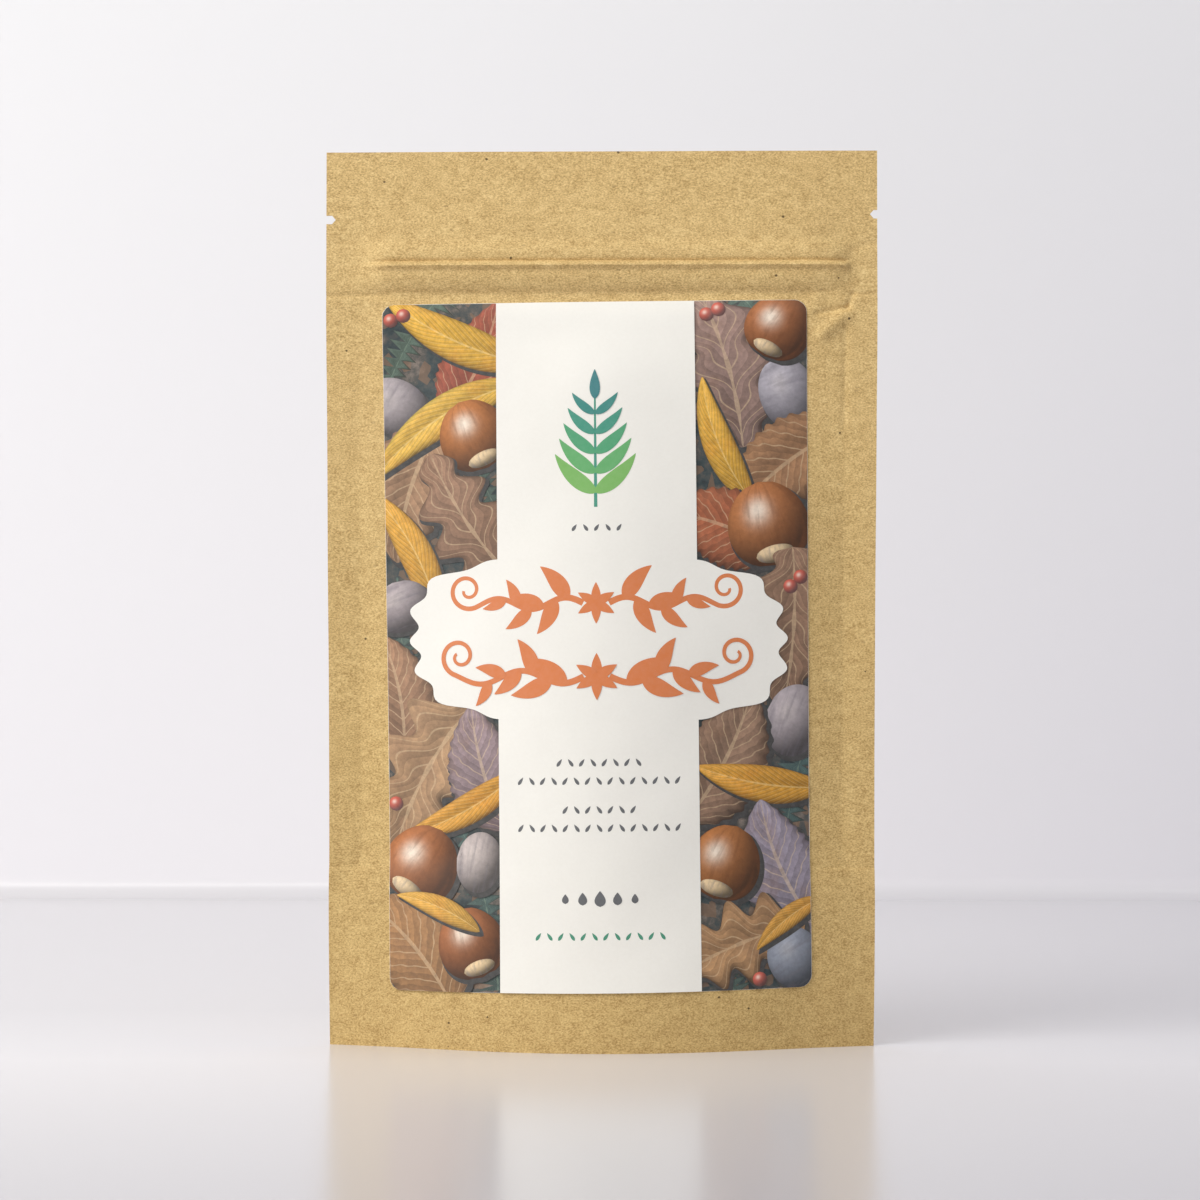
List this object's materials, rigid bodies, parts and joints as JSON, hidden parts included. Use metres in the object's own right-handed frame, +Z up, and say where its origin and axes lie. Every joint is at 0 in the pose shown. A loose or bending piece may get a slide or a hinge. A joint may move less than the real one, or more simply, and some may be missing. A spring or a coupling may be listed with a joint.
{
  "type": "stand-up pouch",
  "caption": "Sealed brown kraft-paper stand-up pouch with a press-to-close zip, tear notches, a folded base and a front label, filled with dried funnel mushrooms.",
  "frame": {"origin": "middle of the base, on the surface that the pouch stands on", "axes": "+Z up from base to top seal, -Y out of the labelled front, +X to the right as seen from the front"},
  "size_m": [0.13, 0.0332, 0.21],
  "materials": {
    "kraft_laminate": "matte",
    "label_paper": "satin",
    "zip_polyethylene": "satin",
    "dried_mushroom": "matte"
  },
  "bodies": {
    "root": {"front_panel": "kraft_laminate", "back_panel": "kraft_laminate", "bottom_gusset": "kraft_laminate", "label": "label_paper", "zip_channel": "zip_polyethylene", "zip_rib": "zip_polyethylene", "dried_mushroom_01": "dried_mushroom", "dried_mushroom_02": "dried_mushroom", "dried_mushroom_03": "dried_mushroom", "dried_mushroom_04": "dried_mushroom", "dried_mushroom_05": "dried_mushroom", "dried_mushroom_06": "dried_mushroom", "dried_mushroom_07": "dried_mushroom", "dried_mushroom_08": "dried_mushroom", "dried_mushroom_09": "dried_mushroom", "dried_mushroom_10": "dried_mushroom", "dried_mushroom_11": "dried_mushroom", "dried_mushroom_12": "dried_mushroom", "dried_mushroom_13": "dried_mushroom", "dried_mushroom_14": "dried_mushroom", "dried_mushroom_15": "dried_mushroom"}
  },
  "joints": []
}
